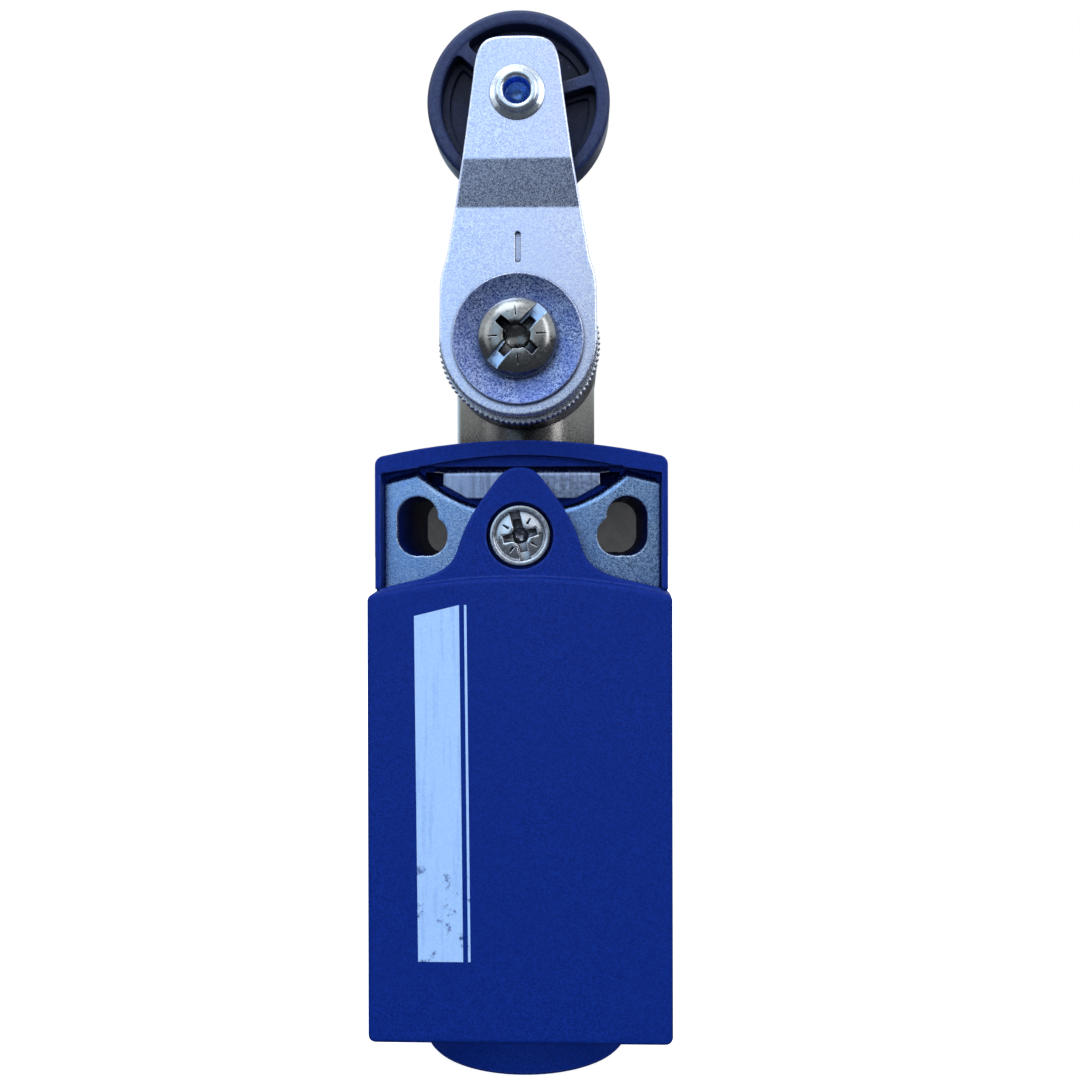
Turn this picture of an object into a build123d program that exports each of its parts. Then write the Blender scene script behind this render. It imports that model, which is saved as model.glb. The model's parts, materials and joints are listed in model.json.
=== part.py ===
from build123d import *
from math import sqrt
import os

os.makedirs("parts", exist_ok=True)

# Compact limit switch with a rotary head and a roller lever.
# Origin: midway between the two round fixing holes, on the mounting plane at the back.
# +X to the right, +Z up, the front faces -Y. A "depth" is a distance in front of that plane.

# ---- driving dimensions, mm -------------------------------------------------------
body_depth = 34.0        # mounting plane to the front of the cover
body_foot = -51.0        # underside of the case and cover
case_width = 30.2
case_crown = 9.8         # top of the case at its middle
crown_radius = 66.0      # the top of the case and of the cover are arcs
corner = 1.0

cover_width = 31.0
cover_crown = -3.9       # top of the cover's raised face at its middle
cover_joint = 28.5       # depth where the cover meets the case
cover_draft = 3.0        # degrees
wall = 2.0

fixing_hole_r = 2.15
round_hole_x = 10.0      # round holes, 20 mm centres
slot_x = 11.0            # slots, 22 mm centres
slot_rise = 2.0

lip_depth = 29.5         # front of the case's upper lip
land_depth = 26.0        # where the fixing plate lies
plate_front = 27.0
plate_half = 14.4
plate_foot = -6.2
recess_half = 14.5       # recess that the plate lies in
recess_top = 7.2
scoop = 1.5

chamber_half = 13.1      # wiring chamber
chamber_top = -8.5
chamber_foot = -49.0
rib_top = -6.5

head_depth = 17.0        # axis of the head's neck, the plunger and the cable entry
neck_r = 7.7
neck_foot = 3.6
well_floor = 3.4
clip_low = 6.5
clip_top = 7.1
clip_half = 8.15

collar_r = 11.0          # cable entry, M16 x 1.5
collar_foot = -56.4
entry_r = 7.19

hub_z = 19.3             # lever shaft
barrel_r = 8.0
barrel_back = 5.5
barrel_front = 31.0
shaft_r = 3.0
spigot_r = 2.4
cam_r = 5.5
cam_flat = 3.9
running_gap = 0.04

plunger_r = 1.6
plunger_crown = 13.6
plunger_foot = -10.55
plunger_cap = 1.2

lever_length = 24.0      # shaft axis to roller axis
arm_sheet = 1.3
arm_low_front = 35.1     # front of the arm at the hub
arm_joggle = 0.9         # how much further forward it is at the roller
disc_r = 8.15
disc_back = 31.3
disc_flange = 1.1

roller_r = 9.15
roller_width = 5.0
roller_gap = 1.1         # arm to roller rim
rivet_r = 2.0

block_half = 12.4        # contact block
block_top = -9.0
block_foot = -39.0
block_back = 2.1
block_split = 13.0
block_front_face = 24.0
contact_half = 7.2
contact_top = -10.5
contact_foot = -37.5
contact_front = 21.0
terminal_x = 9.4
upper_screw_z = -12.1
lower_screw_z = -30.8
upper_arm_z = -15.0      # underside of the upper contact arms
lower_arm_z = -27.6      # top of the lower contact arms
terminal_sheet = 0.8
tip_x = 5.6
tip_r = 1.1
contact_travel = 3.0
contact_air = 0.02

arm_low_back = arm_low_front - arm_sheet
arm_high_front = arm_low_front + arm_joggle
arm_high_back = arm_high_front - arm_sheet
roller_z = hub_z + lever_length
roller_front = arm_high_back - roller_gap
roller_back = roller_front - roller_width
pieces = {}


def front(depth):
    """Plane facing the front, at a depth; its y is up."""
    return Plane.XZ.offset(depth)


def level(height):
    """Horizontal plane at a height."""
    return Plane.XY.offset(height)


def arched_face(width, foot, crown, corner_r):
    """Upright outline with straight sides and an arched top."""
    half = width / 2
    shoulder = crown - crown_radius + sqrt(crown_radius**2 - half**2)
    with BuildSketch() as face:
        with BuildLine():
            Polyline((-half, shoulder), (-half, foot), (half, foot), (half, shoulder))
            ThreePointArc((half, shoulder), (0, crown), (-half, shoulder))
        make_face()
        fillet(face.vertices(), corner_r)
    return face.sketch


def fixing_holes():
    """Each side: a round hole run together with an upright slot."""
    with BuildSketch() as holes:
        with Locations((-round_hole_x, 0), (round_hole_x, 0)):
            Circle(fixing_hole_r)
        with Locations((-slot_x, slot_rise / 2), (slot_x, slot_rise / 2)):
            SlotCenterToCenter(slot_rise, 2 * fixing_hole_r, rotation=90)
    return holes.sketch


def combination_recess(slot_width, slot_length, wing, wing_length, turn):
    """Slot with a cross over it, as on a terminal screw."""
    with BuildSketch() as recess:
        Rectangle(slot_width, slot_length, rotation=turn)
        Rectangle(wing, wing_length, rotation=turn + 45)
        Rectangle(wing, wing_length, rotation=turn - 45)
        Circle(wing_length * 0.36)
    return recess.sketch


def coil_spring(x, depth, foot, top, coil_r, wire_r, turns):
    """Upright compression spring."""
    height = top - foot - 2 * wire_r
    path = Helix(pitch=height / turns, height=height, radius=coil_r,
                 center=(x, -depth, foot + wire_r))
    with BuildPart() as spring:
        with BuildSketch(Plane(origin=path @ 0, z_dir=path % 0)):
            Circle(wire_r)
        sweep(path=path, is_frenet=True)
    return spring.part


# ---- case ------------------------------------------------------------------------
with BuildPart() as case:
    with BuildSketch(front(0)):
        add(arched_face(case_width, body_foot, case_crown, corner))
    extrude(amount=lip_depth)
    fillet(case.faces().sort_by(Axis.Y)[-1].edges(), 0.5)
    # the rim below stops at the cover joint
    with BuildSketch(front(cover_joint)):
        add(arched_face(case_width + 4, body_foot - 2, cover_crown + 0.1, corner))
    extrude(amount=lip_depth, mode=Mode.SUBTRACT)
    # cable entry collar
    with BuildSketch(level(collar_foot)):
        with Locations((0, -head_depth)):
            Circle(collar_r)
    extrude(amount=body_foot + wall - collar_foot)
    chamfer(case.faces().sort_by(Axis.Z)[0].edges(), 0.3)
    # wiring chamber
    with BuildSketch(front(wall)):
        with Locations((0, (chamber_top + chamber_foot) / 2)):
            RectangleRounded(2 * chamber_half, chamber_top - chamber_foot, 1.5)
    extrude(amount=lip_depth, mode=Mode.SUBTRACT)
    # recess for the fixing plate, with a shallow scoop in the lip above it
    with BuildSketch(front(land_depth)):
        with BuildLine():
            Polyline((0, rib_top + 0.2), (recess_half, rib_top + 0.2), (recess_half, 6.45),
                     (10.6, 7.05), (10.4, recess_top), (0, recess_top))
            mirror(about=Plane.YZ)
        make_face()
    extrude(amount=4, mode=Mode.SUBTRACT)
    with BuildSketch(front(lip_depth - scoop)):
        with BuildLine():
            ThreePointArc((-9.9, recess_top), (0, case_crown - 1.5), (9.9, recess_top))
            Line((9.9, recess_top), (-9.9, recess_top))
        make_face()
    extrude(amount=4, mode=Mode.SUBTRACT)
    # well for the head's neck, and the way down for the plunger
    with BuildSketch(level(well_floor)):
        with Locations((0, -head_depth)):
            Circle(neck_r + 0.05)
    extrude(amount=10, mode=Mode.SUBTRACT)
    with BuildSketch(level(chamber_top - 1)):
        with Locations((0, -head_depth)):
            Circle(plunger_r + 0.3)
    extrude(amount=well_floor - chamber_top + 2, mode=Mode.SUBTRACT)
    # slot for the head clip, with a pocket at each end
    with BuildSketch(front(8.5)):
        with Locations((0, (clip_low + clip_top) / 2)):
            Rectangle(2 * clip_half + 0.3, clip_top - clip_low + 0.1)
    extrude(amount=lip_depth, mode=Mode.SUBTRACT)
    with BuildSketch(front(20)):
        with Locations((-9.15, 5.95), (9.15, 5.95)):
            Rectangle(2.3, 1.5)
    extrude(amount=lip_depth, mode=Mode.SUBTRACT)
    # fixing holes and the cover screw's insert
    with BuildSketch(front(-1)):
        add(fixing_holes())
    extrude(amount=lip_depth + 2, mode=Mode.SUBTRACT)
    with BuildSketch(front(20.7)):
        Circle(2.62)
    extrude(amount=lip_depth, mode=Mode.SUBTRACT)
    # cable entry
    with BuildSketch(level(collar_foot - 1)):
        with Locations((0, -head_depth)):
            Circle(entry_r)
    extrude(amount=chamber_foot - collar_foot + 2, mode=Mode.SUBTRACT)
pieces["case"] = case.part

# ---- fixing plate ------------------------------------------------------------------
with BuildPart() as fixing_plate:
    with BuildSketch(front(land_depth)):
        with BuildLine():
            Polyline((0, plate_foot), (plate_half, plate_foot), (plate_half, 5.5), (13.9, 6.1),
                     (10.9, 6.9), (10.2, 6.2))
            Spline((10.2, 6.2), (6.7, 3.95), (0, 2.6), tangents=[(-1, -0.85), (-1, 0)])
            mirror(about=Plane.YZ)
        make_face()
        add(fixing_holes(), mode=Mode.SUBTRACT)
        Circle(2.05, mode=Mode.SUBTRACT)
    extrude(amount=plate_front - land_depth)
    top_edges = fixing_plate.faces().sort_by(Axis.Y)[0].edges().filter_by(
        lambda edge: edge.center().Z > 6 and abs(edge.center().X) > 10.5)
    fillet(top_edges, 0.8)
pieces["fixing_plate"] = fixing_plate.part

# ---- head clip: a bent fork that holds the head's neck ---------------------------------
with BuildPart() as head_clip:
    with BuildSketch(front(plate_front + 0.3)):
        with BuildLine():
            Polyline((0, 3.9), (5.65, 3.9), (clip_half, 5.3), (clip_half, 6.5), (9.1, 6.6),
                     (9.1, clip_top), (0, clip_top))
            mirror(about=Plane.YZ)
        make_face()
    extrude(amount=0.6)
    with BuildSketch(level(clip_low)):
        with Locations((0, -(plate_front + 0.3 + 11) / 2)):
            Rectangle(2 * clip_half, plate_front + 0.3 - 11)
        with Locations((0, -head_depth)):
            Circle(6.7, mode=Mode.SUBTRACT)
        with Locations((0, -(head_depth + 10) / 2)):
            Rectangle(13.4, head_depth - 10, mode=Mode.SUBTRACT)
    extrude(amount=clip_top - clip_low)
    outer_bend = head_clip.faces().sort_by(Axis.Y)[0].edges().sort_by(Axis.Z)[-1]
    fillet(outer_bend, 0.85)
pieces["head_clip"] = head_clip.part

# ---- cover -------------------------------------------------------------------------
screw_seat = 30.2
tongue_back = 28.3
tongue_front = 32.5
with BuildPart() as cover:
    with BuildSketch(front(cover_joint)):
        add(arched_face(cover_width, body_foot, cover_crown, corner))
    extrude(amount=body_depth - cover_joint, taper=cover_draft)
    fillet(cover.faces().sort_by(Axis.Y)[0].edges(), 0.5)
    with BuildSketch(front(tongue_back)):
        with BuildLine():
            Spline((0, 6.9), (2.6, 5.3), (4.4, 2.8), (6.3, -1.4), tangents=[(1, 0), (0.3, -1)])
            Spline((6.3, -1.4), (7.8, -3.4), (10.2, -4.4), (14.2, -5.4), tangents=[(0.3, -1), (1, -0.3)])
            Polyline((14.2, -5.4), (14.2, -5.8), (0, -5.8))
            mirror(about=Plane.YZ)
        make_face()
    extrude(amount=tongue_front - tongue_back)
    fillet(cover.faces().filter_by(Axis.Y).group_by(Axis.Y)[1].edges().group_by(Axis.Z)[-1], 0.25)
    # hollow over the wiring chamber
    with BuildSketch(front(tongue_back - 1)):
        with Locations((0, (chamber_top + chamber_foot) / 2)):
            RectangleRounded(2 * (cover_width / 2 - wall), chamber_top - chamber_foot, 1.5)
    extrude(amount=body_depth - wall - tongue_back + 1, mode=Mode.SUBTRACT)
    # groove for the gasket
    with BuildSketch(front(cover_joint - 1)):
        with Locations((0, (rib_top + body_foot) / 2)):
            RectangleRounded(29.8, rib_top - body_foot - 1.1, 2.2)
            RectangleRounded(28.0, rib_top - body_foot - 2.9, 1.3, mode=Mode.SUBTRACT)
    extrude(amount=1.8, mode=Mode.SUBTRACT)
    # seat and hole for the screw
    with BuildSketch(front(screw_seat)):
        Circle(3.4)
    extrude(amount=body_depth, mode=Mode.SUBTRACT)
    with BuildSketch(front(plate_front)):
        Circle(1.9)
    extrude(amount=body_depth, mode=Mode.SUBTRACT)
pieces["cover"] = cover.part

with BuildPart() as cover_gasket:
    with BuildSketch(front(cover_joint)):
        with Locations((0, (rib_top + body_foot) / 2)):
            RectangleRounded(29.7, rib_top - body_foot - 1.2, 2.15)
            RectangleRounded(28.1, rib_top - body_foot - 2.8, 1.35, mode=Mode.SUBTRACT)
    extrude(amount=0.78)
pieces["cover_gasket"] = cover_gasket.part

with BuildPart() as cover_screw:
    with BuildSketch(front(21.4)):
        Circle(1.7)
    extrude(amount=screw_seat - 21.4)
    with BuildSketch(front(screw_seat)):
        Circle(3.12)
    extrude(amount=1.9)
    fillet(cover_screw.faces().sort_by(Axis.Y)[0].edges(), 0.4)
    with BuildSketch(front(screw_seat + 0.8)):
        add(combination_recess(0.75, 7.0, 0.8, 3.3, 15))
    extrude(amount=2, mode=Mode.SUBTRACT)
pieces["cover_screw"] = cover_screw.part

with BuildPart() as cover_screw_retainer:
    with BuildSketch(front(plate_front + 0.3)):
        Circle(2.8)
        Circle(1.75, mode=Mode.SUBTRACT)
    extrude(amount=0.8)
pieces["cover_screw_retainer"] = cover_screw_retainer.part

with BuildPart() as cover_screw_insert:
    with BuildSketch(front(20.8)):
        Circle(2.6)
        Circle(1.75, mode=Mode.SUBTRACT)
    extrude(amount=land_depth - 20.9)
    with BuildSketch(front(22.8)):
        Circle(2.7)
        Circle(2.3, mode=Mode.SUBTRACT)
    extrude(amount=1.2, mode=Mode.SUBTRACT)
pieces["cover_screw_insert"] = cover_screw_insert.part

# ---- head --------------------------------------------------------------------------
cam_room_r = 6.4
cam_room_back = 11.5
cam_room_front = 22.5
spring_room_r = 5.2
guide_top = 5.0
bush_r = 4.6
bush_front = 29.4
seal_r = 5.0
with BuildPart() as head_body:
    with BuildSketch(level(neck_foot)):
        with Locations((0, -head_depth)):
            Circle(neck_r)
    extrude(amount=hub_z - neck_foot)
    with BuildSketch(front(barrel_back)):
        with Locations((0, hub_z)):
            Circle(barrel_r)
    extrude(amount=barrel_front - barrel_back)
    fillet(head_body.faces().filter_by(Axis.Y).edges(), 0.5)
    # room for the cam, the plunger's spring and its guide
    with BuildSketch(front(cam_room_back)):
        with Locations((0, hub_z)):
            Circle(cam_room_r)
    extrude(amount=cam_room_front - cam_room_back, mode=Mode.SUBTRACT)
    with BuildSketch(level(neck_foot)):
        with Locations((0, -head_depth)):
            Circle(spring_room_r)
    extrude(amount=hub_z - neck_foot, mode=Mode.SUBTRACT)
    with BuildSketch(level(neck_foot)):
        with Locations((0, -head_depth)):
            Circle(5.6)
    extrude(amount=guide_top - neck_foot, mode=Mode.SUBTRACT)
    # bores for the shaft, its bush and its seal
    with BuildSketch(front(7.5)):
        with Locations((0, hub_z)):
            Circle(shaft_r + running_gap)
    extrude(amount=6, mode=Mode.SUBTRACT)
    with BuildSketch(front(cam_room_front)):
        with Locations((0, hub_z)):
            Circle(bush_r + 0.01)
    extrude(amount=10, mode=Mode.SUBTRACT)
    with BuildSketch(front(bush_front)):
        with Locations((0, hub_z)):
            Circle(seal_r + 0.01)
    extrude(amount=5, mode=Mode.SUBTRACT)
    # grooves for the clip and the seal ring
    for low, high, groove_r in ((clip_low - 0.1, clip_top + 0.1, 6.6), (4.05, 5.15, neck_r - 0.9)):
        with BuildSketch(level(low)):
            with Locations((0, -head_depth)):
                Circle(neck_r + 1)
                Circle(groove_r, mode=Mode.SUBTRACT)
        extrude(amount=high - low, mode=Mode.SUBTRACT)
pieces["head_body"] = head_body.part

with BuildPart() as head_seal_ring:
    with BuildSketch(Plane.XZ.offset(head_depth)):
        with Locations((neck_r - 0.42, 4.6)):
            Circle(0.45)
    revolve(axis=Axis((0, -head_depth, 0), (0, 0, 1)))
pieces["head_seal_ring"] = head_seal_ring.part

with BuildPart() as plunger_guide:
    with BuildSketch(level(neck_foot + 0.05)):
        with Locations((0, -head_depth)):
            Circle(5.58)
            Circle(plunger_r + 0.06, mode=Mode.SUBTRACT)
    extrude(amount=guide_top - neck_foot - 0.07)
pieces["plunger_guide"] = plunger_guide.part

with BuildPart() as plunger:
    with BuildSketch(level(plunger_foot)):
        with Locations((0, -head_depth)):
            Circle(plunger_r)
    extrude(amount=plunger_crown - plunger_foot)
    with BuildSketch(level(plunger_crown - plunger_cap)):
        with Locations((0, -head_depth)):
            Circle(4.5)
    extrude(amount=plunger_cap)
    chamfer(plunger.edges().group_by(Axis.Z)[0], 0.3)
    fillet(plunger.edges().group_by(Axis.Z)[-1], 0.4)
pieces["plunger"] = plunger.part

pieces["plunger_spring"] = coil_spring(
    0, head_depth, guide_top + 0.02, plunger_crown - plunger_cap - 0.05, 3.3, 0.35, 5)

with BuildPart() as shaft:
    with BuildSketch(front(7.7)):
        with Locations((0, hub_z)):
            Circle(shaft_r)
    extrude(amount=31.2 - 7.7)
    with BuildSketch(front(31.2)):
        with Locations((0, hub_z)):
            Circle(spigot_r)
    extrude(amount=arm_low_front - 0.1 - 31.2)
    with BuildSketch(front(24.5)):
        with Locations((0, hub_z)):
            Circle(rivet_r)
    extrude(amount=12, mode=Mode.SUBTRACT)
    with BuildSketch(front(21.2)):
        with Locations((0, hub_z)):
            Circle(shaft_r + 1)
            Circle(2.5, mode=Mode.SUBTRACT)
    extrude(amount=0.7, mode=Mode.SUBTRACT)
    with BuildSketch(Plane.YZ.offset(-5)):
        with Locations((-head_depth, hub_z)):
            Circle(0.77)
    extrude(amount=10, mode=Mode.SUBTRACT)
pieces["shaft"] = shaft.part

with BuildPart() as shaft_bush:
    with BuildSketch(front(cam_room_front)):
        with Locations((0, hub_z)):
            Circle(bush_r)
            Circle(shaft_r + running_gap, mode=Mode.SUBTRACT)
    extrude(amount=bush_front - cam_room_front)
pieces["shaft_bush"] = shaft_bush.part

with BuildPart() as shaft_seal:
    with BuildSketch(front(bush_front + 0.05)):
        with Locations((0, hub_z)):
            Circle(seal_r)
            Circle(shaft_r + running_gap, mode=Mode.SUBTRACT)
    extrude(amount=1.2)
pieces["shaft_seal"] = shaft_seal.part

with BuildPart() as cam:
    with BuildSketch(front(13.4)):
        with Locations((0, hub_z)):
            Circle(cam_r)
            Circle(shaft_r + 0.01, mode=Mode.SUBTRACT)
        with Locations((0, hub_z - cam_flat - 2)):
            Rectangle(2 * cam_r, 4, mode=Mode.SUBTRACT)
    extrude(amount=7.2)
    with BuildSketch(Plane.YZ.offset(-6)):
        with Locations((-head_depth, hub_z)):
            Circle(0.77)
    extrude(amount=12, mode=Mode.SUBTRACT)
pieces["cam"] = cam.part

with BuildPart() as cam_pin:
    with BuildSketch(Plane.YZ.offset(-5)):
        with Locations((-head_depth, hub_z)):
            Circle(0.75)
    extrude(amount=10)
pieces["cam_pin"] = cam_pin.part

with BuildPart() as shaft_circlip:
    with BuildSketch(front(21.25)):
        with Locations((0, hub_z)):
            Circle(4.2)
            Circle(2.52, mode=Mode.SUBTRACT)
        with Locations((0, hub_z - 4)):
            Rectangle(3.0, 5.0, mode=Mode.SUBTRACT)
    extrude(amount=0.6)
pieces["shaft_circlip"] = shaft_circlip.part

# ---- lever -------------------------------------------------------------------------
teeth = 36
with BuildPart() as notched_washer:
    with BuildSketch(front(disc_back)):
        with Locations((0, hub_z)):
            Circle(disc_r)
    extrude(amount=disc_flange)
    chamfer(notched_washer.faces().filter_by(Axis.Y).edges(), 0.15)
    with BuildSketch(front(disc_back + 0.4)):
        with Locations((0, hub_z)):
            with PolarLocations(disc_r, teeth):
                Rectangle(0.5, 0.3)
    extrude(amount=1, mode=Mode.SUBTRACT)
    with BuildSketch(front(disc_back + 0.2)):
        with Locations((0, hub_z)):
            Circle(disc_r - 0.85)
    extrude(amount=arm_low_back - disc_back - 0.2)
    with BuildSketch(front(disc_back - 1)):
        with Locations((0, hub_z)):
            Circle(spigot_r + 0.02)
    extrude(amount=5, mode=Mode.SUBTRACT)
pieces["notched_washer"] = notched_washer.part

bend_low = 32.3
bend_high = 36.9
arm_crown = roller_z + 5.6
with BuildPart() as lever_arm:
    with BuildSketch(Plane.YZ.offset(-10)):
        with BuildLine():
            Polyline((-arm_low_front, hub_z - 9), (-arm_low_front, bend_low),
                     (-arm_high_front, bend_high), (-arm_high_front, roller_z + 8),
                     (-arm_high_back, roller_z + 8), (-arm_high_back, bend_high + 0.15),
                     (-arm_low_back, bend_low + 0.15), (-arm_low_back, hub_z - 9), close=True)
        make_face()
    extrude(amount=20)
    with BuildSketch(front(arm_low_back - 2)):
        with BuildLine():
            ThreePointArc((0, hub_z - 7.5), (5.4, hub_z - 5.4), (7.8, hub_z))
            Line((7.8, hub_z), (7.75, 24.0))
            Spline((7.75, 24.0), (7.45, 26.3), (6.98, 27.9), tangents=[(0, 1), (-0.15, 1)])
            Polyline((6.98, 27.9), (5.4, 37.0), (4.35, 44.8))
            Spline((4.35, 44.8), (3.3, 48.3), (0, arm_crown), tangents=[(-0.1, 1), (-1, 0)])
            mirror(about=Plane.YZ)
        make_face()
        with Locations((0, hub_z)):
            Circle(spigot_r + 0.02, mode=Mode.SUBTRACT)
        with Locations((0, roller_z)):
            Circle(rivet_r + 0.02, mode=Mode.SUBTRACT)
    extrude(amount=8, mode=Mode.INTERSECT)
    bends = lever_arm.edges().filter_by(Axis.X).filter_by(lambda edge: edge.length > 9)
    fillet(bends.filter_by(lambda edge: edge.center().Y < -arm_low_back - 0.1), 1.0)
    fillet(lever_arm.faces().sort_by(Axis.Y)[0].outer_wire().edges(), 0.25)
    # pointer groove
    with BuildSketch(front(arm_low_front - 0.4)):
        with Locations((0, 28.4)):
            SlotOverall(3.1, 0.6, rotation=90)
    extrude(amount=1, mode=Mode.SUBTRACT)
pieces["lever_arm"] = lever_arm.part

washer_front = arm_low_front + 1.0
with BuildPart() as clamp_washer:
    with BuildSketch(front(arm_low_front)):
        with Locations((0, hub_z)):
            Circle(6.5)
            Circle(2.05, mode=Mode.SUBTRACT)
    extrude(amount=washer_front - arm_low_front)
    chamfer(clamp_washer.faces().sort_by(Axis.Y)[0].outer_wire().edges(), 0.15)
pieces["clamp_washer"] = clamp_washer.part

with BuildPart() as clamp_screw:
    with BuildSketch(front(25.2)):
        with Locations((0, hub_z)):
            Circle(1.95)
    extrude(amount=washer_front - 25.2)
    with BuildSketch(front(washer_front)):
        with Locations((0, hub_z)):
            Circle(4.0)
    extrude(amount=2.3)
    fillet(clamp_screw.faces().sort_by(Axis.Y)[0].edges(), 1.0)
    with BuildSketch(front(washer_front + 0.9)):
        with Locations((0, hub_z)):
            add(combination_recess(1.3, 7.2, 1.0, 4.0, -48))
    extrude(amount=3, mode=Mode.SUBTRACT)
pieces["clamp_screw"] = clamp_screw.part

# ---- roller ------------------------------------------------------------------------
rim_sheet = 1.4
hub_r = 3.4
with BuildPart() as roller:
    with BuildSketch(front(roller_back)):
        with Locations((0, roller_z)):
            Circle(roller_r)
            Circle(roller_r - rim_sheet, mode=Mode.SUBTRACT)
    extrude(amount=roller_width)
    chamfer(roller.faces().filter_by(Axis.Y).edges().filter_by(
        lambda edge: edge.radius > roller_r - 0.1), 0.3)
    with BuildSketch(front(roller_back)):
        with Locations((0, roller_z)):
            Circle(hub_r)
    extrude(amount=arm_high_back - 0.1 - roller_back)
    with BuildSketch(front(roller_back + 1.6)):
        with Locations((0, roller_z)):
            Circle(roller_r - rim_sheet / 2)
    extrude(amount=1.2)
    with BuildSketch(front(roller_back + 1.6)):
        with Locations((0, roller_z)):
            for angle in (16.5, 136.5, 256.5):
                with PolarLocations((hub_r + roller_r - rim_sheet) / 2, 1, start_angle=angle):
                    Rectangle(roller_r - rim_sheet - hub_r + 0.6, 1.0)
    extrude(amount=roller_width - 2.0)
    with BuildSketch(front(roller_back - 1)):
        with Locations((0, roller_z)):
            Circle(rivet_r + 0.06)
    extrude(amount=10, mode=Mode.SUBTRACT)
pieces["roller"] = roller.part

with BuildPart() as roller_rivet:
    for start, end, ring_r in ((roller_back - 0.9, roller_back - 0.1, 3.2),
                               (roller_back - 0.1, arm_high_front, rivet_r),
                               (arm_high_front, arm_high_front + 0.3, 2.55),
                               (arm_high_front + 0.3, arm_high_front + 1.0, 2.05)):
        with BuildSketch(front(start)):
            with Locations((0, roller_z)):
                Circle(ring_r)
        extrude(amount=end - start)
    with BuildSketch(front(arm_high_front - 3)):
        with Locations((0, roller_z)):
            Circle(1.25)
    extrude(amount=6, mode=Mode.SUBTRACT)
    fillet(roller_rivet.faces().sort_by(Axis.Y)[0].edges(), 0.3)
pieces["roller_rivet"] = roller_rivet.part

# ---- contact block -------------------------------------------------------------------
block_z = (block_top + block_foot) / 2
block_height = block_top - block_foot
with BuildPart() as contact_block_base:
    with BuildSketch(front(block_back)):
        with Locations((0, block_z)):
            RectangleRounded(2 * block_half, block_height, 0.8)
    extrude(amount=block_split - block_back)
    with BuildSketch(front(block_back)):
        with Locations((0, block_z)):
            with GridLocations(12, block_height / 2, 2, 2):
                RectangleRounded(9, block_height / 2 - 3, 0.8)
    extrude(amount=block_split - block_back - 2, mode=Mode.SUBTRACT)
pieces["contact_block_base"] = contact_block_base.part

with BuildPart() as contact_block_front:
    with BuildSketch(front(block_split)):
        with Locations((0, block_z)):
            RectangleRounded(2 * block_half, block_height, 0.8)
    extrude(amount=block_front_face - block_split)
    # partitions between the terminals
    with BuildSketch(front(block_front_face)):
        with Locations((0, block_z)):
            Rectangle(3, block_height - 2)
        with Locations((0, -21.5)):
            Rectangle(2 * block_half - 1, 1.6)
    extrude(amount=3.5)
    # room for the moving contacts
    with BuildSketch(front(block_split)):
        with Locations((0, (contact_top + contact_foot) / 2)):
            Rectangle(2 * contact_half, contact_top - contact_foot)
    extrude(amount=contact_front - block_split, mode=Mode.SUBTRACT)
    with BuildSketch(level(contact_top - 1)):
        with Locations((0, -head_depth)):
            Circle(plunger_r + 0.2)
    extrude(amount=5, mode=Mode.SUBTRACT)
    # slots for the fixed contact arms and holes for the terminal screws
    with BuildSketch(front(15.4)):
        for arm_z in (upper_arm_z + terminal_sheet / 2, lower_arm_z - terminal_sheet / 2):
            with Locations((-9.3, arm_z), (9.3, arm_z)):
                Rectangle(4.6, terminal_sheet + 0.1)
    extrude(amount=10, mode=Mode.SUBTRACT)
    with BuildSketch(front(18.8)):
        for screw_z in (upper_screw_z, lower_screw_z):
            with Locations((-terminal_x, screw_z), (terminal_x, screw_z)):
                Circle(1.6)
    extrude(amount=10, mode=Mode.SUBTRACT)
pieces["contact_block_front"] = contact_block_front.part


def fixed_terminal(side, arm_z, screw_z, direction):
    """Bent strip: a contact arm inside the block and a screw plate in front of it."""
    plate_start = arm_z
    plate_end = screw_z + direction * 2.9
    with BuildPart() as terminal:
        with BuildSketch(level(min(arm_z, arm_z + direction * terminal_sheet))):
            with Locations((side * 7.95, -17.0)):
                Rectangle(6.9, 3.0)
            with Locations((side * 9.9, -(18.5 + block_front_face + 0.8) / 2)):
                Rectangle(3.0, block_front_face + 0.8 - 18.5)
        extrude(amount=terminal_sheet)
        with BuildSketch(front(block_front_face)):
            with Locations((side * terminal_x, (plate_start + plate_end) / 2)):
                Rectangle(4.8, abs(plate_end - plate_start))
            with Locations((side * terminal_x, screw_z)):
                Circle(1.5, mode=Mode.SUBTRACT)
        extrude(amount=terminal_sheet)
    return terminal.part


for side, side_name in ((-1, "left"), (1, "right")):
    pieces["upper_" + side_name + "_terminal"] = fixed_terminal(side, upper_arm_z, upper_screw_z, 1)
    pieces["lower_" + side_name + "_terminal"] = fixed_terminal(side, lower_arm_z, lower_screw_z, -1)

screw_places = [(x, z) for x in (-terminal_x, terminal_x) for z in (upper_screw_z, lower_screw_z)]
clamp_back = block_front_face + terminal_sheet
with BuildPart() as wire_clamps:
    with BuildSketch(front(clamp_back + 0.02)):
        with Locations(*screw_places):
            RectangleRounded(4.8, 5.4, 0.5)
            Circle(1.5, mode=Mode.SUBTRACT)
    extrude(amount=0.9)
pieces["wire_clamps"] = wire_clamps.part

with BuildPart() as terminal_screws:
    with BuildSketch(front(19.2)):
        with Locations(*screw_places):
            Circle(1.45)
    extrude(amount=clamp_back + 0.95 - 19.2)
    with BuildSketch(front(clamp_back + 0.95)):
        with Locations(*screw_places):
            Circle(2.6)
    extrude(amount=1.8)
    with BuildSketch(front(clamp_back + 1.95)):
        with Locations(*screw_places):
            Rectangle(0.8, 6)
            Rectangle(2.6, 0.8)
    extrude(amount=2, mode=Mode.SUBTRACT)
pieces["terminal_screws"] = terminal_screws.part

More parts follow.
